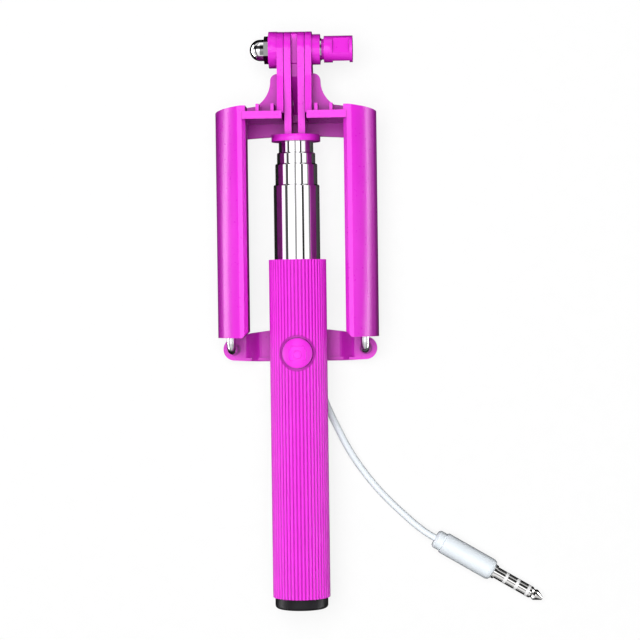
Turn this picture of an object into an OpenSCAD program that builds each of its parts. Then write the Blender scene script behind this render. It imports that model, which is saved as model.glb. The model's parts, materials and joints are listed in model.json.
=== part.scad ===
// Folding wired selfie stick, collapsed and folded, lying on its back.
// Millimetres. +Y runs along the stick towards the head, +Z away from the table, +X to the
// right as it is looked down on. The origin is under the middle of the object.
// Most modules draw in the stick frame instead: its origin is the head hinge, its z runs down
// the stick to the end cap, its y is the height over the stick's axis, and x is the same.

/* [Handle] */
// Length of the ribbed grip
grip_len = 98; // [92:1:110]
// Outside diameter of the grip over its ribs
grip_d = 16.7; // [16.5:0.1:17.2]
// Number of ribs round the grip
rib_count = 48; // [24:2:52]
// Height of the end cap that shows below the grip
cap_len = 3.3; // [2.5:0.1:5]
// Diameter of the end cap
cap_d = 15.4; // [14.8:0.1:16.2]

/* [Tubes] */
// Outside diameter of the widest tube, fixed in the handle
tube_d = 13.3; // [13.2:0.1:13.4]
// How much narrower each next tube is
tube_step = 1.1; // [1.0:0.05:1.2]
// Wall of every tube
tube_wall = 0.3; // [0.25:0.05:0.35]
// Length of the widest tube that shows above the grip
tube_1_show = 21.7; // [18:0.1:26]
// Length of the second tube that shows
tube_2_show = 6.1; // [3:0.1:8]
// Length of the third and the fourth tube that shows
tube_3_show = 3.2; // [2:0.1:5]

/* [Head] */
// Radius of the hinge ears and fingers round the hinge
ear_r = 5.2; // [4.8:0.1:5.6]
// From the hinge to the collar under the fingers
finger_len = 24.8; // [24:0.1:26]
// Diameter of that collar
collar_d = 14.2; // [13.6:0.1:15]
// Height of that collar
collar_t = 1.9; // [1.5:0.1:3]
// Thickness of each finger
finger_t = 2.0; // [1.8:0.05:2.1]
// Gap between the two fingers
finger_gap = 1.9; // [1.8:0.05:2.1]

/* [Phone bracket] */
// Half of the width over both arms
arm_out = 23.5; // [23:0.1:25]
// Half of the width between the arms
arm_in = 14.1; // [14:0.1:15]
// From the hinge to the top of the arms
arm_top = 16.6; // [16:0.1:17.5]
// Length of the arms
arm_len = 66.8; // [65:0.1:68]
// From the hinge to the top of the shelf that a phone's edge meets
shelf_top = 18.3; // [18:0.1:18.8]
// Thickness of that shelf
shelf_t = 2.2; // [1.8:0.1:2.6]

/* [Lower jaw] */
// Height of the jaw's belt
jaw_h = 9.2; // [8:0.1:10]
// From the hinge to the jaw's rods
rod_drop = 87.0; // [86.5:0.1:87.5]
// Diameter of the two steel rods
rod_d = 2.5; // [2.2:0.1:2.6]
// Distance of each rod from the middle
rod_x = 19.4; // [19.2:0.1:19.5]
// How far the jaw pulls out
jaw_travel = 22; // [15:1:24]

/* [Button] */
// Diameter of the shutter button
button_d = 8.8; // [8:0.1:9]
// Diameter of the smooth ring round it
bezel_d = 10.2; // [10:0.1:10.6]
// From the hinge to the middle of the button
button_drop = 87.9; // [80:0.1:100]

/* [Cord and plug] */
// Diameter of the cord
cord_d = 2.0; // [1.8:0.1:2.2]
// Diameter of the plug's moulded body
plug_d = 6.4; // [5.8:0.1:6.8]
// Diameter of the standard plug's contacts
contact_d = 3.5; // [3.5:0.1:3.5]

/* [Hidden] */
$fn = 96;

// Colours
pink = "#e832d8";
steel = "#d8d8de";
white = "#e9f1f8";
black = "#1b181c";

// Stations down the stick, measured from the hinge
collar_end = finger_len + collar_t;
mouth_3 = collar_end + tube_3_show;
mouth_2 = mouth_3 + tube_3_show;
mouth_1 = mouth_2 + tube_2_show;
grip_top = mouth_1 + tube_1_show;
grip_end = grip_top + grip_len;
cap_end = grip_end + cap_len;

// Frame: the object lies on the jaw and the bracket's lip
boss_left_r = ear_r + 0.1;
overall = boss_left_r + cap_end;
pivot_y = overall / 2 - boss_left_r;
axis_z = 13.2;
back_h = -axis_z;

// Fits
slip = 0.05;
gap = 0.15;
eps = 0.01;

// Handle
grip_r = grip_d / 2;
rib_r = 0.45;
liner_r = grip_r - 1.0;
tube_r = tube_d / 2;
lip_len = 1.0;
cap_spigot = 8;
cap_round = 1.0;
board_w = 4.2;
board_l = 13;
board_t = 0.3;
board_h = tube_r + slip;
dome_r = 1.5;
dome_t = 0.25;
button_r = grip_r + 0.25;
bezel_r = grip_r - 0.3;
button_under = tube_r + 1.2;
coil_r = 2.1;
coil_hole = 1.2;

// Tubes: outside radius, mouth and bottom of tube n, which are 1 to 4
function tube_radius(n) = tube_r - (n - 1) * tube_step / 2;
tube_mouths = [mouth_1, mouth_2, mouth_3, collar_end];
tube_bottoms = [grip_end, grip_end - 10.4, grip_end - 12.4, grip_end - 14.4];
mouth_t = 0.9;
mouth_round = 0.4;
ring_h = 6;
ring_t = tube_step / 2 - tube_wall - slip;

// Hinge
bolt_r = 1.95;
nut_r = 2.0;
hinge_r = 2.05;
ear_in = finger_gap / 2 + finger_t + gap;
ear_t = 1.9;
ear_out = ear_in + ear_t;
middle_t = finger_gap - 2 * slip - 0.1;
middle_crown = 3.2;
stem_len = 10;
boss_left = 2.5;
boss_right = 2.4;
boss_right_r = 4.4;
nut_flats = 7;
nut_hex = 3.2;
nut_sunk = 1.8;
nut_dome_r = 3.1;
nut_neck = 1.1;
washer_t = 0.4;
knob_len = 9;
knob_r = 3.85;
knob_turn = 15;

// Cord gland on the collar's back
gland_h = -8.6;
gland_r = 1.9;
gland_end = 32;

// Bracket
arm_front = 8.8;
arm_back = -0.6;
arm_end = arm_top + arm_len;
arm_bow = 10.6;
arm_bow_h = -1.8;
arm_chamfer = 1.4;
belt_t = 1.8;
wall_top = 15;
wall_level = 11;
lip_end = 24.8;
shelf_front = 8.6;
shelf_w = 20.6;
wall_w = shelf_w - 2;
finger_slot = 3.6;
slot_back = -6.6;
rib_t = 0.9;
rib_places = [6.3, 10.6];
rib_top = 16.2;
gusset_t = 1.6;
gusset_w = 7.3;
gusset_foot = 12;
shoulder_r = 2.0;
shoulder_drop = 8.9;
foot_r = 8.5;

// Spring channels in the arms
rod_r = rod_d / 2;
rod_h = 2.2;
channel_r = 2.0;
channel_top = 21.6;
guide_t = 2.4;
cover_t = 0.9;
cover_side = 0.7;
stop_t = 1.5;
rod_top = 22.4;
spring_r = 1.9;
spring_hole = 1.4;

// Jaw
jaw_top = 81.5;
jaw_end = jaw_top + jaw_h;
jaw_ear_r = 3.3;
jaw_ear_h = -8.4;
jaw_ear_t = 2.5;
jaw_seat_r = 1.8;
jaw_bow_w = 12.2;
jaw_flat = 2.4;
rod_bend = 2.5;
ledge_t = 0.8;
ledge_in = 14.4;
clip_r = 2.0;
clip_t = 0.5;

// Plug: where it starts, which way it points, and its lengths
plug_r = plug_d / 2;
plug_start = [39.1, -64.9, plug_r];
plug_turn = -30.2;
plug_way = [cos(plug_turn), sin(plug_turn), 0];
plug_collar_r = 2.75;
plug_collar_len = 2.6;
plug_body_len = 17;
contact_r = contact_d / 2;
shoulder_len = 0.8;
sleeve_len = 2.9;
band_len = 0.9;
ring_len = 2.8;
tip_len = 4.6;
core_r = 0.9;
contacts_from = plug_collar_len + plug_body_len;
sleeve_from = contacts_from + shoulder_len;
ring_2_from = sleeve_from + sleeve_len + band_len;
ring_1_from = ring_2_from + ring_len + band_len;
tip_from = ring_1_from + ring_len + band_len;
tip_end = tip_from + tip_len;

// Cord: its route, from the gland to the plug
cord_r = cord_d / 2;
cord_sides = 8;
cord_route = [
    [0, 46.5, 4.6], [0, 42, 4.6], [0, 37, 4.3], [0, 32, 3.8], [0.1, 27, 3.5], [0.3, 22, 3.4],
    [0.5, 17, 3.3], [0.8, 12, 3.3], [1.2, 7, 3.3], [1.6, 2, 3.3], [2.1, -3, 3.3],
    [2.8, -8, 3.3], [3.8, -13, 3.3], [5, -18, 3.4], [6.6, -22.6, 3.4], [8.4, -27.2, 3.4],
    [10.5, -31.7, 3.4], [12.7, -36.2, 3.1], [15.2, -40.7, 2.3], [18.3, -45.3, 1.5],
    [21.8, -49.8, 1.1], [25.6, -53.9, 1.1], [29.7, -57.8, 1.5], [34.1, -61.6, 2.5],
    plug_start - 2 * plug_way, plug_start];

// Places its children, drawn in the stick frame, on the object
module stick() {
    translate([0, pivot_y, axis_z]) rotate([90, 0, 0]) children();
}

// Turned ring about the stick's axis between two stations
module pipe(from, to, r_out, r_in) {
    translate([0, 0, from]) difference() {
        cylinder(r = r_out, h = to - from);
        translate([0, 0, -1]) cylinder(r = r_in, h = to - from + 2);
    }
}

// Plate across the stick, with its outline in x and height
module plate_across(from, thick) {
    translate([0, 0, from]) linear_extrude(thick) children();
}

// Plate facing the viewer, with its outline in x and the direction of the head
module plate_facing(low, thick) {
    translate([0, low, 0]) rotate([-90, 0, 0]) linear_extrude(thick) children();
}

// Plate seen from the side, with its outline in the direction of the head and height
module plate_side(left, thick) {
    translate([left, 0, 0]) rotate([0, 90, 0]) linear_extrude(thick) children();
}

// Round bar along x, from the left end
module bar_x(left, len, r) {
    translate([left, 0, 0]) rotate([0, 90, 0]) cylinder(r = r, h = len);
}

// Round bar standing up from the stick, at a station
module bar_up(station, low, len, r) {
    translate([0, low, station]) rotate([-90, 0, 0]) cylinder(r = r, h = len);
}

// Draws its children on the right, and mirrored on the left
module both_sides() {
    children();
    mirror([1, 0, 0]) children();
}

// ---- Handle ----

module grip_sleeve() {
    color(pink) stick() difference() {
        translate([0, 0, grip_top]) linear_extrude(grip_len) union() {
            circle(r = grip_r - rib_r);
            for (i = [0:rib_count - 1])
                rotate(i * 360 / rib_count) translate([grip_r - rib_r, 0]) circle(r = rib_r, $fn = 24);
        }
        translate([0, 0, grip_top + lip_len]) cylinder(r = liner_r, h = grip_len);
        translate([0, 0, grip_top - 1]) cylinder(r = tube_r, h = grip_len);
        bar_up(button_drop, 0, grip_d, bezel_d / 2);
    }
}

module handle_liner() {
    color(black) stick() difference() {
        pipe(grip_top + lip_len, grip_end, liner_r, tube_r);
        bar_up(button_drop, 0, grip_d, button_d / 2 + gap);
        translate([-board_w / 2 - slip, 0, button_drop - board_l / 2 - slip])
            cube([board_w + 2 * slip, grip_r, board_l + 2 * slip]);
    }
}

module end_cap() {
    color(black) stick() rotate_extrude() {
        polygon([
            [0, grip_end - cap_spigot], [tube_r - tube_wall, grip_end - cap_spigot],
            [tube_r - tube_wall, grip_end], [cap_d / 2, grip_end], [cap_d / 2, cap_end - cap_round],
            for (a = [15:15:90])
                [cap_d / 2 - cap_round * (1 - cos(a)), cap_end - cap_round * (1 - sin(a))],
            [0, cap_end]]);
    }
}

module switch_board() {
    color("#1f6b3a") stick()
        translate([-board_w / 2, board_h, button_drop - board_l / 2]) cube([board_w, board_t, board_l]);
}

module dome_switch() {
    color(steel) stick() bar_up(button_drop, board_h + board_t, dome_t, dome_r);
}

module button_bezel() {
    color(pink) stick() intersection() {
        difference() {
            bar_up(button_drop, 0, grip_d, bezel_d / 2);
            bar_up(button_drop, -1, grip_d, button_d / 2 + gap);
        }
        pipe(grip_top, grip_end, bezel_r, liner_r);
    }
}

module button_cap() {
    color(pink) stick() intersection() {
        bar_up(button_drop, 0, grip_d, button_d / 2);
        pipe(grip_top, grip_end, button_r, button_under);
    }
}

module coiled_wire() {
    color(white) stick() pipe(collar_end + stem_len + 1, grip_end - cap_spigot - 1, coil_r, coil_hole);
}

// ---- Telescopic tubes ----

// Tube n, with a mouth rolled in to the next tube
module tube(n) {
    r = tube_radius(n);
    inner = r - tube_wall;
    mouth = tube_radius(n + 1) + slip;
    low = tube_mouths[n - 1];
    high = tube_bottoms[n - 1];
    color(steel) stick() rotate_extrude() polygon([
        [mouth, low], [r - mouth_round, low], [r - mouth_round * 0.3, low + mouth_round * 0.3],
        [r, low + mouth_round], [r, high], [inner, high], [inner, low + mouth_t],
        [mouth, low + mouth_t * 0.6]]);
}

// Split plastic ring round the bottom of tube n, which rubs in the wider tube
module friction_ring(n) {
    high = tube_bottoms[n - 1];
    r = tube_radius(n);
    color(white) stick() difference() {
        pipe(high - ring_h, high, r + ring_t, r);
        translate([-0.4, 0, high - ring_h - 1]) cube([0.8, grip_d, ring_h + 2]);
    }
}

module tube_1() { tube(1); }
module tube_2() { tube(2); }
module tube_3() { tube(3); }
module tube_4() {
    r = tube_radius(4);
    color(steel) stick() pipe(collar_end, tube_bottoms[3], r, r - tube_wall);
}
module friction_ring_2() { friction_ring(2); }
module friction_ring_3() { friction_ring(3); }
module friction_ring_4() { friction_ring(4); }

// ---- Head ----

module head_fork() {
    color(pink) stick() difference() {
        union() {
            translate([0, 0, finger_len]) cylinder(r = collar_d / 2, h = collar_t);
            translate([0, gland_h, finger_len]) cylinder(r = gland_r + 0.4, h = collar_t);
            translate([0, 0, collar_end - eps])
                cylinder(r = tube_radius(4) - tube_wall, h = stem_len + eps);
            both_sides() plate_side(finger_gap / 2, finger_t) {
                circle(r = ear_r);
                translate([-finger_len - 0.5, -ear_r]) square([finger_len + 0.5, 2 * ear_r]);
            }
        }
        bar_x(-collar_d, 2 * collar_d, hinge_r);
        translate([0, 0, collar_end + 2]) cylinder(r = coil_hole, h = stem_len);
        translate([0, gland_h, finger_len - 1]) cylinder(r = cord_r, h = collar_t + 2);
    }
}

module cord_gland() {
    color(white) stick() translate([0, gland_h, collar_end]) difference() {
        cylinder(r1 = gland_r, r2 = cord_r + 0.4, h = gland_end - collar_end);
        translate([0, 0, -1]) cylinder(r = cord_r, h = gland_end);
    }
}

module hinge_bolt() {
    left = -ear_out - boss_left - nut_hex + nut_sunk;
    color(steel) stick() bar_x(left, ear_out + boss_right + washer_t + knob_len / 2 - left, bolt_r);
}

module dome_nut() {
    hex_left = -ear_out - boss_left - nut_hex + nut_sunk;
    neck_left = hex_left - nut_neck;
    color(steel) stick() difference() {
        union() {
            translate([hex_left, 0, 0]) rotate([0, 90, 0])
                cylinder(r = nut_flats / 2 / cos(30), h = nut_hex, $fn = 6);
            bar_x(neck_left, nut_neck + eps, nut_dome_r);
            intersection() {
                translate([neck_left, 0, 0]) sphere(r = nut_dome_r);
                bar_x(neck_left - 2 * nut_dome_r, 2 * nut_dome_r + eps, nut_dome_r);
            }
        }
        bar_x(neck_left, 2 * nut_hex, nut_r);
    }
}

module knob_washer() {
    color(steel) stick() difference() {
        bar_x(ear_out + boss_right, washer_t, 3.2);
        bar_x(0, collar_d, bolt_r + slip);
    }
}

// Knob with three finger hollows
module thumb_knob() {
    left = ear_out + boss_right + washer_t;
    hollow_left = left + 3.2;
    hollow_len = 4.9;
    hollow_w = 4.6;
    hollow_floor = 3.0;
    color(pink) stick() difference() {
        union() {
            bar_x(left, 0.8, 3.0);
            bar_x(left + 0.7, knob_len - 0.7, knob_r);
        }
        bar_x(left - 1, knob_len / 2 + 1, bolt_r);
        for (a = [0, 120, 240])
            rotate([a - knob_turn, 0, 0]) translate([hollow_left, hollow_floor, -hollow_w / 2])
                cube([hollow_len, knob_r, hollow_w]);
    }
}

// ---- Phone bracket ----

// Section of the right arm: bowed front, flat back
module arm_section() {
    intersection() {
        translate([arm_out - arm_bow, arm_bow_h]) circle(r = arm_bow);
        translate([arm_in, arm_back]) square([arm_out, arm_front]);
    }
}

// What the chamfer along the inner front edge takes away, below the shelf
module arm_chamfer_section() {
    translate([arm_in, arm_front - 0.2 - arm_chamfer]) rotate(45) square(2 * arm_chamfer);
}

// Section of the spring channel in the right arm, open at the arm's back
module channel_section() {
    translate([rod_x, rod_h]) circle(r = channel_r);
    translate([rod_x - channel_r, arm_back - 1]) square([2 * channel_r, rod_h - arm_back + 1]);
}

// Seat of the cover that closes the right channel
module cover_section(play) {
    translate([rod_x - channel_r - cover_side + play, arm_back])
        square([2 * (channel_r + cover_side - play), cover_t]);
}

// Front view of the right arm, whose top falls towards the outside
module arm_outline() {
    polygon([[arm_in - 1, -arm_end - 1], [arm_in - 1, -arm_top], [arm_in + 1.5, -arm_top],
        [arm_out - 2.9, -arm_top - 0.7], [arm_out - 0.8, -arm_top - 1.2], [arm_out + 0.3, -arm_top - 1.7],
        [arm_out + 0.3, -arm_end - 1]]);
}

module arm() {
    difference() {
        intersection() {
            plate_across(arm_top, arm_len) arm_section();
            plate_facing(arm_back - 1, 2 * arm_bow) arm_outline();
        }
        plate_across(shelf_top + shelf_t, arm_len) arm_chamfer_section();
        plate_across(channel_top, arm_len) channel_section();
        plate_across(channel_top - cover_side, arm_len) cover_section(0);
        // chamfer of the bottom inner corner
        translate([arm_in, arm_front / 2, arm_end]) rotate([0, 45, 0]) cube([2.4, 30, 2.4], center = true);
    }
}

// Shelf across the bracket: the whole depth at the sides, slotted for the fingers
module shelf_section() {
    difference() {
        union() {
            translate([-arm_in - 0.8, arm_back]) square([2 * arm_in + 1.6, shelf_front - arm_back]);
            translate([-shelf_w, back_h + 2]) square([2 * shelf_w, arm_back - back_h - 1.5]);
            translate([-wall_w, back_h]) square([2 * wall_w, 3]);
        }
        translate([-finger_slot, slot_back]) square([2 * finger_slot, 30]);
    }
}

// Back wall with the lip that hooks round a phone, its top corners sloping away behind the arms
module wall_outline() {
    difference() {
        intersection() {
            translate([-wall_w, -lip_end]) square([2 * wall_w, lip_end - wall_top]);
            both_sides() polygon([[-eps, -wall_top], [wall_level, -wall_top], [arm_in + 0.6, -wall_top - 0.5],
                [wall_w, -arm_top - 0.6], [wall_w, -lip_end], [-eps, -lip_end]]);
        }
        // the lip is a little shorter in the middle
        translate([0, -lip_end - 199.4]) circle(r = 200, $fn = 180);
    }
}

// Web beside the outer ears, with a round shoulder and a concave foot
module gusset_outline() {
    difference() {
        union() {
            translate([ear_out - 0.5, -shelf_top - 0.5])
                square([gusset_foot - ear_out + 0.5, shelf_top + 0.5 - shoulder_drop]);
            translate([gusset_w - shoulder_r, -shoulder_drop]) circle(r = shoulder_r);
        }
        translate([gusset_w + foot_r, -shoulder_drop]) circle(r = foot_r);
    }
}

// Side view of an ear, from the hinge back to the wall, with its front cut back to a crown
module ear_outline(crown, mid_front, front_foot) {
    intersection() {
        circle(r = ear_r);
        translate([-ear_r, -ear_r]) square([2 * ear_r, ear_r + crown]);
    }
    polygon([[0, crown], [-8, mid_front], [-shelf_top - 0.5, front_foot], [-shelf_top - 0.5, back_h + 0.5],
        [-wall_top, back_h + 0.5], [-4, -ear_r * 0.9], [0, -ear_r]]);
}

module phone_bracket() {
    color(pink) stick() difference() {
        union() {
            both_sides() arm();
            plate_across(shelf_top, shelf_t) shelf_section();
            plate_facing(back_h, belt_t) wall_outline();
            both_sides() plate_side(ear_in, ear_t) ear_outline(ear_r, 5.4, 7.2);
            plate_side(-middle_t / 2, middle_t) ear_outline(middle_crown, 2.4, -7.2);
            both_sides() plate_facing(-gusset_t, gusset_t) gusset_outline();
            for (x = rib_places)
                both_sides() translate([x - rib_t / 2, back_h + 1, rib_top])
                    cube([rib_t, shelf_front - back_h - 1.4, shelf_top - rib_top + 0.1]);
            bar_x(-ear_out - boss_left, boss_left + eps, boss_left_r);
            bar_x(ear_out - eps, boss_right + eps, boss_right_r);
        }
        bar_x(-arm_out, 2 * arm_out, hinge_r);
        translate([-ear_out - boss_left - 1, 0, 0]) rotate([0, 90, 0])
            cylinder(r = nut_flats / 2 / cos(30), h = 1 + nut_sunk, $fn = 6);
    }
}

// Cover strip over the right arm's spring channel
module arm_cover() {
    translate([0, 0, channel_top - cover_side]) linear_extrude(arm_end - channel_top + cover_side)
        cover_section(0);
}

module arm_cover_right() { color(pink) stick() arm_cover(); }
module arm_cover_left() { color(pink) stick() mirror([1, 0, 0]) arm_cover(); }

module rod_guides() {
    color(black) stick() both_sides() difference() {
        translate([0, 0, arm_end - guide_t]) linear_extrude(guide_t) intersection() {
            channel_section();
            translate([0, arm_back + cover_t]) square([arm_out, arm_front]);
        }
        translate([rod_x, rod_h, arm_end - guide_t - 1]) cylinder(r = rod_r + slip, h = guide_t + 2);
    }
}

module spring() {
    translate([rod_x, rod_h, 0]) pipe(rod_top + stop_t, arm_end - guide_t, spring_r, spring_hole);
}

module spring_right() { color(steel) stick() spring(); }
module spring_left() { color(steel) stick() mirror([1, 0, 0]) spring(); }

// ---- Lower jaw ----

// One point of a curve that rises smoothly from a low place to a high one
function rise(low, high, t) =
    [low.x + (high.x - low.x) * t, low.y + (high.y - low.y) * (1 - cos(180 * t)) / 2];

// Section of the right half of the belt: flat back, side rising smoothly to the ear
module half_belt() {
    side = rod_x + jaw_ear_r;
    low_ear = jaw_ear_h - jaw_ear_t;
    polygon([
        [0, back_h], for (t = [0:0.125:1]) rise([jaw_bow_w, back_h], [rod_x - jaw_flat, low_ear], t),
        [side - 1, low_ear], [side, low_ear + 1], [side, jaw_ear_h],
        for (t = [1:-0.125:0])
            rise([jaw_bow_w - 0.6, back_h + belt_t], [rod_x - jaw_flat - 0.4, jaw_ear_h], t),
        [0, back_h + belt_t]]);
}

// Front view of the jaw, with round ears
module jaw_outline() {
    both_sides() {
        translate([rod_x, -rod_drop]) circle(r = jaw_ear_r);
        polygon([[-1, -jaw_top], [8.4, -jaw_top], [14.7, -jaw_top - 0.8],
            [rod_x, jaw_ear_r - rod_drop], [rod_x, -rod_drop - jaw_ear_r], [12, -jaw_end],
            [-1, -jaw_end]]);
    }
}

module lower_jaw() {
    color(pink) stick() difference() {
        union() {
            intersection() {
                both_sides() translate([0, 0, jaw_top - 1]) linear_extrude(jaw_h + 2) half_belt();
                plate_facing(back_h - 1, axis_z) jaw_outline();
            }
            // ledges that a phone's edge stands on
            both_sides() translate([ledge_in, back_h + 3, jaw_end - ledge_t - 0.3])
                cube([3.6, jaw_ear_h - back_h - 3, ledge_t]);
            // low rim between them, under the cord
            translate([-ledge_in, back_h + belt_t - 0.1, jaw_end - ledge_t - 0.3])
                cube([2 * ledge_in, 0.4, ledge_t]);
        }
        both_sides() translate([rod_x, 0, rod_drop]) rotate([90, 0, 0]) {
            cylinder(r = rod_r + slip, h = axis_z);
            translate([0, 0, -jaw_ear_h - 1]) cylinder(r = jaw_seat_r, h = 2);
        }
    }
}

// Right rod: straight in the arm, bent back into the jaw's ear
module rod() {
    bend_station = rod_drop - rod_bend;
    leg_end = jaw_ear_h - jaw_ear_t - clip_t;
    translate([rod_x, rod_h, rod_top]) cylinder(r = rod_r, h = bend_station - rod_top);
    translate([rod_x, rod_h - rod_bend, bend_station]) rotate([90, 0, 90])
        rotate_extrude(angle = 90) translate([rod_bend, 0]) circle(r = rod_r, $fn = 48);
    translate([rod_x, rod_h - rod_bend, rod_drop]) rotate([90, 0, 0])
        cylinder(r = rod_r, h = rod_h - rod_bend - leg_end);
}

module rod_right() { color(steel) stick() rod(); }
module rod_left() { color(steel) stick() mirror([1, 0, 0]) rod(); }

module rod_stops() {
    color(steel) stick() both_sides()
        translate([rod_x, rod_h, 0]) pipe(rod_top, rod_top + stop_t, spring_r, rod_r);
}

module rod_clips() {
    color(steel) stick() both_sides()
        translate([rod_x, jaw_ear_h - jaw_ear_t, rod_drop]) rotate([90, 0, 0]) difference() {
            cylinder(r = clip_r, h = clip_t);
            translate([0, 0, -1]) cylinder(r = rod_r, h = clip_t + 2);
        }
}

// ---- Cord and plug ----

function unit(v) = v / norm(v);
function heading(path, i) = unit(path[min(i + 1, len(path) - 1)] - path[max(i - 1, 0)]);
function ring_points(path, i, r, sides) =
    let (t = heading(path, i), s = unit(cross(t, [0, 0, 1])), u = cross(s, t))
    [for (k = [0:sides - 1]) path[i] + r * (cos(360 * k / sides) * s + sin(360 * k / sides) * u)];

// Tube swept along a list of points
module swept(path, r, sides) {
    last = len(path) - 1;
    points = [for (i = [0:last], p = ring_points(path, i, r, sides)) p];
    walls = [for (i = [0:last - 1], k = [0:sides - 1])
        [i * sides + k, (i + 1) * sides + k, (i + 1) * sides + (k + 1) % sides, i * sides + (k + 1) % sides]];
    start = [for (k = [0:sides - 1]) k];
    end = [for (k = [sides - 1:-1:0]) last * sides + k];
    polyhedron(points = points, faces = concat(walls, [start, end]), convexity = 6);
}

module cord() {
    color(white) swept(cord_route, cord_r, cord_sides);
}

// Places its children with z along the plug, from where the cord enters it
module plug() {
    translate(plug_start) rotate([0, 90, plug_turn]) children();
}

module plug_collar() {
    color(white) plug() rotate_extrude()
        polygon([[0, 0], [plug_collar_r - 0.5, 0], [plug_collar_r, 0.6], [plug_collar_r, plug_collar_len],
            [0, plug_collar_len]]);
}

module plug_body() {
    color(white) plug() rotate_extrude()
        polygon([[0, plug_collar_len], [plug_r - 0.5, plug_collar_len], [plug_r - 0.12, plug_collar_len + 0.2],
            [plug_r, plug_collar_len + 0.6], [plug_r, contacts_from - 1.2], [plug_r - 0.3, contacts_from - 0.4],
            [plug_r - 0.9, contacts_from], [0, contacts_from]]);
}

// One contact, round the plug's core
module contact(from, len) {
    pipe(from, from + len, contact_r, core_r);
}

module plug_sleeve() {
    color(steel) plug() {
        contact(sleeve_from - eps, sleeve_len + eps);
        pipe(contacts_from, sleeve_from, contact_r + 0.35, core_r);
    }
}

module plug_ring_2() { color(steel) plug() contact(ring_2_from, ring_len); }
module plug_ring_1() { color(steel) plug() contact(ring_1_from, ring_len); }

module plug_tip() {
    color(steel) plug() rotate_extrude()
        polygon([[0, tip_from], [contact_r, tip_from], [contact_r, tip_from + 0.7],
            [contact_r - 0.45, tip_from + 1.3], [contact_r - 0.1, tip_from + 1.9],
            [contact_r - 0.1, tip_from + 2.3], [0.45, tip_end - 0.15], [0, tip_end]]);
}

// Three bands between the contacts, and the core under them
module plug_insulators() {
    color(white) plug() {
        for (from = [ring_2_from, ring_1_from, tip_from])
            translate([0, 0, from - band_len]) cylinder(r = contact_r, h = band_len);
        translate([0, 0, contacts_from]) cylinder(r = core_r, h = tip_from - contacts_from);
    }
}

grip_sleeve();
handle_liner();
tube_1();
end_cap();
switch_board();
dome_switch();
button_bezel();
coiled_wire();
button_cap();
tube_2();
friction_ring_2();
tube_3();
friction_ring_3();
tube_4();
friction_ring_4();
head_fork();
cord_gland();
cord();
plug_collar();
plug_body();
plug_sleeve();
plug_ring_2();
plug_ring_1();
plug_tip();
plug_insulators();
phone_bracket();
arm_cover_left();
arm_cover_right();
rod_guides();
dome_nut();
spring_left();
spring_right();
hinge_bolt();
thumb_knob();
knob_washer();
lower_jaw();
rod_left();
rod_right();
rod_stops();
rod_clips();
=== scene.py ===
"""Looks of a folded wired selfie stick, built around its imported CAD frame.

Everything is in metres. +Y runs along the stick towards its head, +Z away from the table.
"""
import json
from math import cos, pi, radians, sin, sqrt

import bpy
from mathutils import Matrix, Vector


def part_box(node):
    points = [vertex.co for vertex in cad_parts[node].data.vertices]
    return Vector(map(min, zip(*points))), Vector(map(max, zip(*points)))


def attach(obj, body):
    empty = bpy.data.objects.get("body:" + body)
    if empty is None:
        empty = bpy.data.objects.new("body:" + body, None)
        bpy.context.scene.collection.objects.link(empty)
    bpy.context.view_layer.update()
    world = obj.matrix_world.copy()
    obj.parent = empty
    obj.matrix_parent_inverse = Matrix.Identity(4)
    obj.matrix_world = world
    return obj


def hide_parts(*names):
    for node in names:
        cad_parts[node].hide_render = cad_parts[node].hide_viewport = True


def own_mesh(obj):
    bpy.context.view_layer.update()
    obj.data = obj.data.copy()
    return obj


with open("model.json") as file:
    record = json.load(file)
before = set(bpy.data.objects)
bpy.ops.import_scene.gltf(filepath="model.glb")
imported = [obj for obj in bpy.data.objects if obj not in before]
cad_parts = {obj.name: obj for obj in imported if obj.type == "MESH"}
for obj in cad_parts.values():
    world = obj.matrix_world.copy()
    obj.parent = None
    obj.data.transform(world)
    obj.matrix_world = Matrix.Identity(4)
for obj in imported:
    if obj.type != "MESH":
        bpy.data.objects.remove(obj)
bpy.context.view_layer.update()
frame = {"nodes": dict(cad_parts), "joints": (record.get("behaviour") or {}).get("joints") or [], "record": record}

MM = 0.001
JOINTS = {joint["name"]: joint for joint in frame["joints"]}
HINGE = Vector(JOINTS["bracket_fold"]["pos_m"])
SLOT_OF = {part["node"]: part["material_slot"] for part in frame["record"]["subparts"]}

GRIP_LOW, GRIP_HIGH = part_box("grip_sleeve")
GRIP_R = (GRIP_HIGH[0] - GRIP_LOW[0]) / 2

BUTTON_LOW, BUTTON_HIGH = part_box("button_cap")
BUTTON_Y = (BUTTON_LOW[1] + BUTTON_HIGH[1]) / 2
BUTTON_RIM = (BUTTON_HIGH[1] - BUTTON_LOW[1]) / 2
BUTTON_FACE_R = BUTTON_HIGH[2] - HINGE.z    # its face is bowed about the stick's axis


# ---- Camera: the photo's view of the stick, from above its middle ----

VIEW_YAW = radians(-2.551)
VIEW_PITCH = radians(0.591)
VIEW_ROLL = radians(0.744)
VIEW_DISTANCE = 600 * MM
VIEW_WIDTH = 186.07 * MM
VIEW_SIDE = 6.319 * MM
SENSOR = 36.0
NEAR, FAR = 0.01, 20


def make_camera():
    turn = (Matrix.Rotation(VIEW_ROLL, 3, "Z") @ Matrix.Rotation(VIEW_PITCH, 3, "X")
            @ Matrix.Rotation(VIEW_YAW, 3, "Y")).transposed()
    middle = Vector((0, 0, HINGE.z))
    camera = bpy.data.objects.new("camera", bpy.data.cameras.new("camera"))
    camera.data.sensor_width = SENSOR
    camera.data.lens = SENSOR * VIEW_DISTANCE / VIEW_WIDTH
    camera.data.clip_start = NEAR
    camera.data.clip_end = FAR
    place = middle + turn @ Vector((VIEW_SIDE, 0, VIEW_DISTANCE))
    camera.matrix_world = Matrix.Translation(place) @ turn.to_4x4()
    bpy.context.collection.objects.link(camera)
    bpy.context.scene.camera = camera


make_camera()


# ---- Node helpers ----

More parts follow.
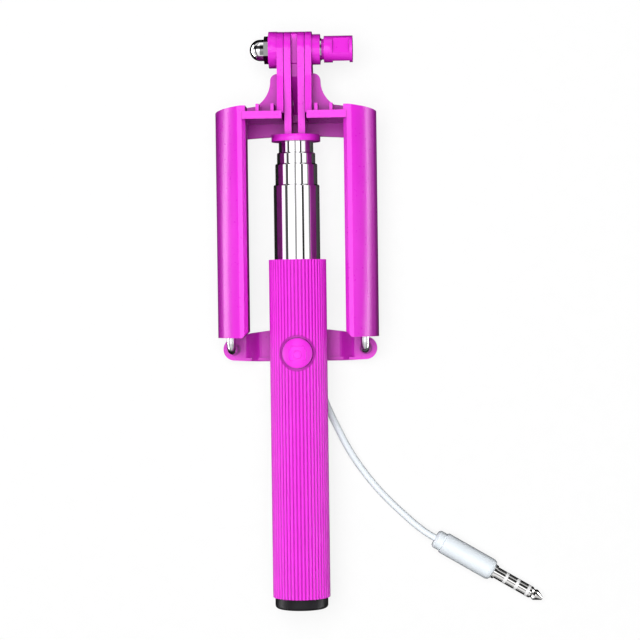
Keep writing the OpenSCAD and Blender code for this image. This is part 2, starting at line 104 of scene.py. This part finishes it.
MIX_SHARE, MIX_FIRST, MIX_SECOND, MIX_COLOUR = 0, 6, 7, 2    # a colour Mix node's sockets
NOISE_MIDDLE = (0.3, 0.7)    # nearly all of a noise lies in this range


def feed(tree, socket, value):
    """Links an input to another node's output, or sets it to a value."""
    if isinstance(value, bpy.types.NodeSocket):
        tree.links.new(value, socket)
    else:
        socket.default_value = value


def add_node(tree, kind, inputs=None, **settings):
    """A shader node with its settings, and its inputs set to values or linked to sockets."""
    made = tree.nodes.new("ShaderNode" + kind)
    for name, value in settings.items():
        setattr(made, name, value)
    for name, value in (inputs or {}).items():
        feed(tree, made.inputs[name], value)
    return made


def math_node(tree, operation, first, second=0.0, third=0.0):
    made = add_node(tree, "Math", operation=operation)
    for place, value in enumerate((first, second, third)):
        feed(tree, made.inputs[place], value)
    return made.outputs[0]


def length_node(tree, first, second):
    """The length of an arrow that goes first one way and second at right angles to it."""
    squares = math_node(tree, "MULTIPLY_ADD", first, first, math_node(tree, "MULTIPLY", second, second))
    return math_node(tree, "SQRT", squares)


def map_range(tree, value, source, target):
    """Maps the range source to the range target, and stays at target's ends outside it."""
    return add_node(tree, "MapRange", {"Value": value, "From Min": source[0], "From Max": source[1],
                                       "To Min": target[0], "To Max": target[1]}).outputs[0]


def mix_colours(tree, share, first, second):
    made = add_node(tree, "Mix", data_type="RGBA")
    for place, value in ((MIX_SHARE, share), (MIX_FIRST, first), (MIX_SECOND, second)):
        feed(tree, made.inputs[place], value)
    return made.outputs[MIX_COLOUR]


def noise(tree, where, size, detail=3.0):
    """Noise whose features are about size metres across."""
    return add_node(tree, "TexNoise", {"Vector": where, "Scale": 1 / size, "Detail": detail}).outputs[0]


def object_place(tree):
    return add_node(tree, "TexCoord").outputs["Object"]


def shade(colour, factor):
    return tuple(min(1.0, part * factor) for part in colour) + (1.0,)


def grey(value):
    return (value, value, value, 1)


# ---- Materials ----

CLOUD_SIZE = 9 * MM    # of the slow change in colour
GRAIN_DETAIL = 2.0
GLOSS_SWING = 0.06
PINK = (0.82, 0.02, 0.72)
EVEN = (1, 1, 1)
ALONG_STICK = (1, 0.06, 1)


def surface(name, colour, roughness, grain, height, tint, stretch=EVEN, **sockets):
    """Moulded, drawn or plated surface, with fine grain in its height and its gloss.

    Grain and height are its size and depth in millimetres. Tint is the share by which the colour
    slowly changes.
    """
    material = bpy.data.materials.new(name)
    material.use_nodes = True
    tree = material.node_tree
    shader = tree.nodes["Principled BSDF"]
    coords = object_place(tree)
    drawn = add_node(tree, "Mapping", {"Vector": coords, "Scale": stretch}).outputs[0]
    slow = noise(tree, coords, CLOUD_SIZE)
    fine = noise(tree, drawn, grain * MM, GRAIN_DETAIL)
    cloud = map_range(tree, slow, NOISE_MIDDLE, (0, 1))
    feed(tree, shader.inputs["Base Color"],
         mix_colours(tree, cloud, shade(colour, 1 - tint), shade(colour, 1 + tint)))
    gloss = (roughness * (1 - GLOSS_SWING), roughness * (1 + GLOSS_SWING))
    feed(tree, shader.inputs["Roughness"], map_range(tree, fine, NOISE_MIDDLE, gloss))
    bump = add_node(tree, "Bump", {"Height": fine, "Distance": height * MM, "Strength": 1.0})
    feed(tree, shader.inputs["Normal"], bump.outputs[0])
    for socket, value in sockets.items():
        shader.inputs[socket.replace("_", " ")].default_value = value
    return material


# Each look's colour, roughness, grain size, grain height and tint
LOOKS = {
    "pink_plastic": surface("pink_plastic", PINK, 0.29, 0.9, 0.0001, 0.03, Specular_IOR_Level=0.5),
    "pink_grip": surface("pink_grip", PINK, 0.4, 0.35, 0.0004, 0.04, Specular_IOR_Level=0.4),
    "chrome_steel": surface("chrome_steel", (0.84, 0.83, 0.85), 0.045, 0.4, 0.0002, 0.01,
                            ALONG_STICK, Metallic=1.0),
    "bright_steel": surface("bright_steel", (0.74, 0.74, 0.76), 0.2, 0.25, 0.002, 0.03,
                            ALONG_STICK, Metallic=1.0),
    "plug_metal": surface("plug_metal", (0.80, 0.79, 0.78), 0.09, 0.3, 0.0005, 0.02, Metallic=1.0),
    "white_cord": surface("white_cord", (0.84, 0.90, 0.95), 0.38, 0.5, 0.003, 0.02),
    "white_plastic": surface("white_plastic", (0.9, 0.9, 0.9), 0.3, 0.5, 0.002, 0.02),
    "black_plastic": surface("black_plastic", (0.012, 0.011, 0.013), 0.38, 0.3, 0.006, 0.2,
                             Specular_IOR_Level=0.15),
    "circuit_board": surface("circuit_board", (0.02, 0.16, 0.06), 0.35, 0.6, 0.004, 0.2),
}


def darken(look, factor):
    """Multiplies a material's colour by a factor that its nodes work out, which paints shade into it."""
    tree = LOOKS[look].node_tree
    base = tree.nodes["Principled BSDF"].inputs["Base Color"]
    scaled = add_node(tree, "VectorMath", {0: base.links[0].from_socket, 1: factor}, operation="MULTIPLY")
    tree.links.new(scaled.outputs[0], base)


# Painted shade in the grip's grooves, by the distance from its axis, and a painted shadow in the sunken ring, by
# that from the button
GROOVE_RISE = (GRIP_R - 0.36 * MM, GRIP_R - 0.05 * MM)
GROOVE_SHADE = (0.66, 1.08)
RING_FALL = (BUTTON_RIM - 0.5 * MM, BUTTON_RIM + 0.1 * MM)
RING_SHADE = (1.0, 0.72)
RING_END = BUTTON_RIM + 0.9 * MM


def paint_grip_groove_shade():
    """Painted shade in the grip's grooves, ridge tops painted a little lighter, and a painted shadow in the sunken
    ring round the button.
    """
    tree = LOOKS["pink_grip"].node_tree
    x, y, z = add_node(tree, "SeparateXYZ", {"Vector": object_place(tree)}).outputs
    from_axis = length_node(tree, x, math_node(tree, "SUBTRACT", z, HINGE.z))
    # painted shade in the grooves, and a little painted light on the ridge tops
    groove = map_range(tree, from_axis, GROOVE_RISE, GROOVE_SHADE)
    from_button = length_node(tree, x, math_node(tree, "SUBTRACT", y, BUTTON_Y))
    # painted shadow in the ring round the button
    ring = map_range(tree, from_button, RING_FALL, RING_SHADE)
    outside = math_node(tree, "GREATER_THAN", from_button, RING_END)
    below = math_node(tree, "LESS_THAN", z, HINGE.z)
    elsewhere = math_node(tree, "MAXIMUM", outside, below)
    darken("pink_grip", math_node(tree, "MULTIPLY", groove, math_node(tree, "MAXIMUM", ring, elsewhere)))


# Painted shade in the moulding's recesses, by how hemmed in each point is
RECESS_REACH = 14 * MM
RECESS_OPENNESS = (0.38, 0.92)    # from fully hemmed in to fully open
RECESS_SHADE = 0.48


def paint_recess_shade():
    """Painted shade: darker colour where the moulding is hemmed in, so gaps and the jaw's inside read dark."""
    tree = LOOKS["pink_plastic"].node_tree
    open_sky = add_node(tree, "AmbientOcclusion", {"Distance": RECESS_REACH}, samples=8).outputs["AO"]
    openness = map_range(tree, open_sky, RECESS_OPENNESS, (0, 1))
    darken("pink_plastic", math_node(tree, "MULTIPLY_ADD", openness, 1 - RECESS_SHADE, RECESS_SHADE))


# paints shade into the grip's grooves and a shadow round its button
paint_grip_groove_shade()
# paints shade into the pink moulding's gaps and recesses
paint_recess_shade()


def dress(piece, look):
    piece.data.materials.clear()
    piece.data.materials.append(LOOKS[look])


# ---- The CAD pieces: their materials, and the moulded ones' rounded edges ----

# Width of the rounding in millimetres
EDGE = {"phone_bracket": 0.22, "head_fork": 0.22, "lower_jaw": 0.22, "thumb_knob": 0.2,
        "button_cap": 0.15, "plug_collar": 0.1, "end_cap": 0.1}
EDGE_SEGMENTS = 2
EDGE_ANGLE = radians(35)
WELD_DISTANCE = 0.002 * MM


def soften(piece, width):
    """Rounds a piece's hard edges, as a mould does."""
    weld = piece.modifiers.new("weld", "WELD")
    weld.merge_threshold = WELD_DISTANCE
    bevel = piece.modifiers.new("bevel", "BEVEL")
    bevel.width = width
    bevel.segments = EDGE_SEGMENTS
    bevel.limit_method = "ANGLE"
    bevel.angle_limit = EDGE_ANGLE
    bevel.use_clamp_overlap = True
    bevel.harden_normals = True


for node_name, piece in frame["nodes"].items():
    dress(piece, SLOT_OF[node_name])
for node_name, width in EDGE.items():
    soften(frame["nodes"][node_name], width * MM)


# ---- Cord ----

CORD_D = 2.0 * MM
PLUG_START = Vector((39.1, -64.9, 3.2)) * MM
PLUG_TURN = radians(-30.2)
PLUG_WAY = Vector((cos(PLUG_TURN), sin(PLUG_TURN), 0))
PLUG_RUN_IN = 2 * MM    # the cord runs straight for this far before the plug
CORD_ROUTE = [Vector(point) * MM for point in (
    (0, 46.5, 4.6), (0, 42, 4.6), (0, 37, 4.3), (0, 32, 3.8), (0.1, 27, 3.5), (0.3, 22, 3.4),
    (0.5, 17, 3.3), (0.8, 12, 3.3), (1.2, 7, 3.3), (1.6, 2, 3.3), (2.1, -3, 3.3),
    (2.8, -8, 3.3), (3.8, -13, 3.3), (5, -18, 3.4), (6.6, -22.6, 3.4), (8.4, -27.2, 3.4),
    (10.5, -31.7, 3.4), (12.7, -36.2, 3.1), (15.2, -40.7, 2.3), (18.3, -45.3, 1.5),
    (21.8, -49.8, 1.1), (25.6, -53.9, 1.1), (29.7, -57.8, 1.5), (34.1, -61.6, 2.5))]
CORD_ROUTE += [PLUG_START - PLUG_RUN_IN * PLUG_WAY, PLUG_START]


def make_cord():
    line = bpy.data.curves.new("cord_line", "CURVE")
    line.dimensions = "3D"
    line.bevel_depth = CORD_D / 2
    line.bevel_resolution = 6
    line.use_fill_caps = True
    spline = line.splines.new("BEZIER")
    spline.resolution_u = 8
    spline.bezier_points.add(len(CORD_ROUTE) - 1)
    for point, place in zip(spline.bezier_points, CORD_ROUTE):
        point.co = place
        point.handle_left_type = point.handle_right_type = "AUTO"
    cord = bpy.data.objects.new("cord_line", line)
    bpy.context.collection.objects.link(cord)
    dress(cord, "white_cord")
    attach(cord, "head")
    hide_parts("cord")


make_cord()


# ---- Jaw springs: coils wound with room to shorten by the jaw's travel ----

SPRING_WIRE = 0.5 * MM
COIL_STEPS = 14    # in a turn
COIL_FILL = 0.85    # share of the shortened coil's length that its turns of wire take up
WIRE_SIDES = 7
JAW_TRAVEL = 22 * MM


def coil_points(start, length, radius, steps):
    """Rings of points round a wire that is wound about +Y, beginning at start."""
    points = []
    for step in range(steps + 1):
        angle = 2 * pi * step / COIL_STEPS
        outward = Vector((cos(angle), 0, sin(angle)))
        along = start.y + SPRING_WIRE / 2 + (length - SPRING_WIRE) * step / steps
        centre = Vector((start.x, along, start.z)) + radius * outward
        for side in range(WIRE_SIDES):
            turn = 2 * pi * side / WIRE_SIDES
            across = cos(turn) * outward + sin(turn) * Vector((0, 1, 0))
            points.append(centre + SPRING_WIRE / 2 * across)
    return points


def ring_point(step, side):
    return step * WIRE_SIDES + side % WIRE_SIDES


def coil_faces(steps):
    """The wire's sides between one ring of points and the next, and its two ends."""
    faces = [(ring_point(step, side), ring_point(step, side + 1),
              ring_point(step + 1, side + 1), ring_point(step + 1, side))
             for step in range(steps) for side in range(WIRE_SIDES)]
    faces.append(tuple(ring_point(0, side) for side in reversed(range(WIRE_SIDES))))
    faces.append(tuple(ring_point(steps, side) for side in range(WIRE_SIDES)))
    return faces


def make_spring(node):
    low, high = (Vector(corner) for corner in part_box(node))
    middle = (low + high) / 2
    length = high.y - low.y
    radius = (high.x - low.x - SPRING_WIRE) / 2
    turns = int(COIL_FILL * (length - JAW_TRAVEL) / SPRING_WIRE)
    steps = turns * COIL_STEPS
    faces = coil_faces(steps)
    mesh = bpy.data.meshes.new(node + "_coil")
    mesh.from_pydata(coil_points(Vector((middle.x, low.y, middle.z)), length, radius, steps), [], faces)
    mesh.polygons.foreach_set("use_smooth", [True] * len(faces))
    coil = bpy.data.objects.new(node + "_coil", mesh)
    bpy.context.collection.objects.link(coil)
    dress(coil, "bright_steel")
    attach(coil, "bracket")
    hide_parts(node)
    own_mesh(coil)


make_spring("spring_left")
make_spring("spring_right")


# ---- Camera mark raised on the shutter button ----

MARK_LINE = 0.2 * MM

# Its outlines, in millimetres from the button's middle
MARK_HALF_W, MARK_LOW, MARK_HIGH, MARK_CORNER = 2.5, -2.1, 1.2, 0.6
HUMP_SIDE, HUMP_RISE, HUMP_CORNER = 1.5, 0.5, 0.4
LENS_Y, LENS_R = -0.4, 1.15
LENS_END, LENS_STEPS = 345, 23    # the closed line adds the last of its 24 steps


def on_button(x, y):
    """A point on the button's bowed face, by its place from the button's middle in millimetres."""
    return (x * MM, BUTTON_Y + y * MM, HINGE.z + sqrt(BUTTON_FACE_R ** 2 - (x * MM) ** 2))


def arc(x, y, radius, start, end, steps=6):
    turns = [radians(start + (end - start) * step / steps) for step in range(steps + 1)]
    return [(x + radius * cos(turn), y + radius * sin(turn)) for turn in turns]


def camera_outline():
    """The camera's body with its hump, anticlockwise from the right."""
    side, top, bottom = MARK_HALF_W - MARK_CORNER, MARK_HIGH - MARK_CORNER, MARK_LOW + MARK_CORNER
    hump_top = MARK_HIGH + HUMP_RISE
    return (arc(side, top, MARK_CORNER, 0, 90)
            + arc(HUMP_SIDE, hump_top, HUMP_CORNER, 0, 90)
            + arc(-HUMP_SIDE, hump_top, HUMP_CORNER, 90, 180)
            + arc(-side, top, MARK_CORNER, 90, 180)
            + arc(-side, bottom, MARK_CORNER, 180, 270)
            + arc(side, bottom, MARK_CORNER, 270, 360))


def make_button_mark():
    line = bpy.data.curves.new("button_mark", "CURVE")
    line.dimensions = "3D"
    line.bevel_depth = MARK_LINE
    line.bevel_resolution = 2
    for outline in (camera_outline(), arc(0, LENS_Y, LENS_R, 0, LENS_END, LENS_STEPS)):
        spline = line.splines.new("POLY")
        spline.points.add(len(outline) - 1)
        spline.use_cyclic_u = True
        for point, (x, y) in zip(spline.points, outline):
            point.co = on_button(x, y) + (1,)
    mark = bpy.data.objects.new("button_mark", line)
    bpy.context.collection.objects.link(mark)
    dress(mark, "pink_grip")
    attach(mark, "button")


make_button_mark()


# ---- Floor ----

FLOOR_SIZE = 6
FLOOR_GREYS = (0.14, 0.16)
FLOOR_GRAIN = 4 * MM
FLOOR_GLOW = 0.83
FLOOR_ROUGHNESS = 0.9


def make_floor():
    """White paper that mostly glows by itself, so that only a faint shadow shows on it."""
    bpy.ops.mesh.primitive_plane_add(size=FLOOR_SIZE)
    floor = bpy.context.object
    floor.name = "floor"
    material = bpy.data.materials.new("floor_paper")
    material.use_nodes = True
    tree = material.node_tree
    shader = tree.nodes["Principled BSDF"]
    dark, light = FLOOR_GREYS
    grain = noise(tree, object_place(tree), FLOOR_GRAIN)
    feed(tree, shader.inputs["Base Color"], mix_colours(tree, grain, grey(dark), grey(light)))
    shader.inputs["Emission Color"].default_value = grey(1)
    shader.inputs["Emission Strength"].default_value = FLOOR_GLOW
    shader.inputs["Roughness"].default_value = FLOOR_ROUGHNESS
    shader.inputs["Specular IOR Level"].default_value = 0.0
    floor.data.materials.append(material)
    floor.visible_glossy = False
    floor.visible_diffuse = False
    floor.visible_shadow = False


make_floor()


# ---- Light: a studio that only reflections see, and panels ----

# Brightness round the stick, by the angle from straight up towards +X, in degrees: panels above
# with dark gaps between them, which draw the lines in the chrome
STUDIO = ((-180, 0.01), (-90, 0.02), (-84, 0.2), (-81, 1.3), (-58, 1.3), (-56, 0.07), (-43, 0.1),
          (-41, 1.7), (-8, 1.7), (-7, 0.4), (2, 0.4), (3, 1.6), (28, 1.6), (29, 0.03), (39, 0.03),
          (40.5, 1.3), (64, 1.25), (67, 0.2), (90, 0.1), (180, 0.01))
STUDIO_PEAK = 1.7    # the brightest of them, since a ramp's stops end at 1

# What that brightness is multiplied by, by the direction's part along +Y: a dark gap beyond the
# head, and light again past it, which keeps the tubes from going black when seen from low down
AHEAD = ((-1, 0.5), (-0.3, 0.65), (-0.2, 1), (0.13, 1), (0.19, 0.03), (0.66, 0.03), (0.74, 0.75),
         (1, 0.75))


def set_stops(ramp, places):
    stops = ramp.color_ramp.elements
    for number, (position, value) in enumerate(places):
        stop = stops[number] if number < 2 else stops.new(1.0)    # a new ramp has two stops
        stop.position = position
        stop.color = grey(value)


def make_world():
    """The studio for reflections, white for the camera, and nothing for matt surfaces."""
    world = bpy.data.worlds.new("studio")
    bpy.context.scene.world = world
    world.use_nodes = True
    world.cycles_visibility.diffuse = False
    tree = world.node_tree
    tree.nodes.clear()
    way = add_node(tree, "TexCoord").outputs["Generated"]
    x, y, z = add_node(tree, "SeparateXYZ", {"Vector": way}).outputs
    turn = math_node(tree, "MULTIPLY_ADD", math_node(tree, "ARCTAN2", x, z), 1 / (2 * pi), 0.5)
    ramp = add_node(tree, "ValToRGB", {"Fac": turn})
    set_stops(ramp, [(angle / 360 + 0.5, value / STUDIO_PEAK) for angle, value in STUDIO])
    ahead = add_node(tree, "ValToRGB", {"Fac": math_node(tree, "MULTIPLY_ADD", y, 0.5, 0.5)})
    set_stops(ahead, [(part / 2 + 0.5, value) for part, value in AHEAD])
    around = math_node(tree, "MULTIPLY", ramp.outputs[0], ahead.outputs[0])
    lit = math_node(tree, "MULTIPLY", around, STUDIO_PEAK)
    studio = add_node(tree, "Background", {"Color": grey(1), "Strength": lit})
    paper = add_node(tree, "Background", {"Color": grey(1), "Strength": 1.0})
    both = add_node(tree, "MixShader", {"Fac": add_node(tree, "LightPath").outputs["Is Camera Ray"]})
    tree.links.new(studio.outputs[0], both.inputs[1])
    tree.links.new(paper.outputs[0], both.inputs[2])
    out = add_node(tree, "OutputWorld")
    tree.links.new(both.outputs[0], out.inputs["Surface"])


def area_light(name, place, target, width, height, watts, glossy):
    """A panel that lights either only the highlights or only the matt part of a surface."""
    light = bpy.data.lights.new(name, "AREA")
    light.shape = "RECTANGLE"
    light.size = width
    light.size_y = height
    light.energy = watts
    lamp = bpy.data.objects.new(name, light)
    lamp.location = place
    lamp.rotation_euler = (Vector(target) - Vector(place)).to_track_quat("-Z", "Y").to_euler()
    lamp.visible_glossy = glossy
    lamp.visible_diffuse = not glossy
    lamp.visible_camera = False
    bpy.context.collection.objects.link(lamp)


# Name, place, target, width, height, watts, and whether it lights the highlights
PANELS = (
    ("key", (-0.08, 0.08, 0.97), (0, 0, 0), 0.7, 0.7, 10.6, False),
    ("fill", (0, 0, 1.2), (0, 0, 0), 1.6, 1.6, 4.4, False),
    ("strip_left", (-0.99, 0, -0.10), (0, 0, 0.01), 1.8, 0.34, 12, True),
    ("strip_right", (0.99, 0, -0.10), (0, 0, 0.01), 1.8, 0.34, 12.5, True),
)

make_world()
for panel in PANELS:
    area_light(*panel)
bpy.context.scene.view_settings.view_transform = "Standard"
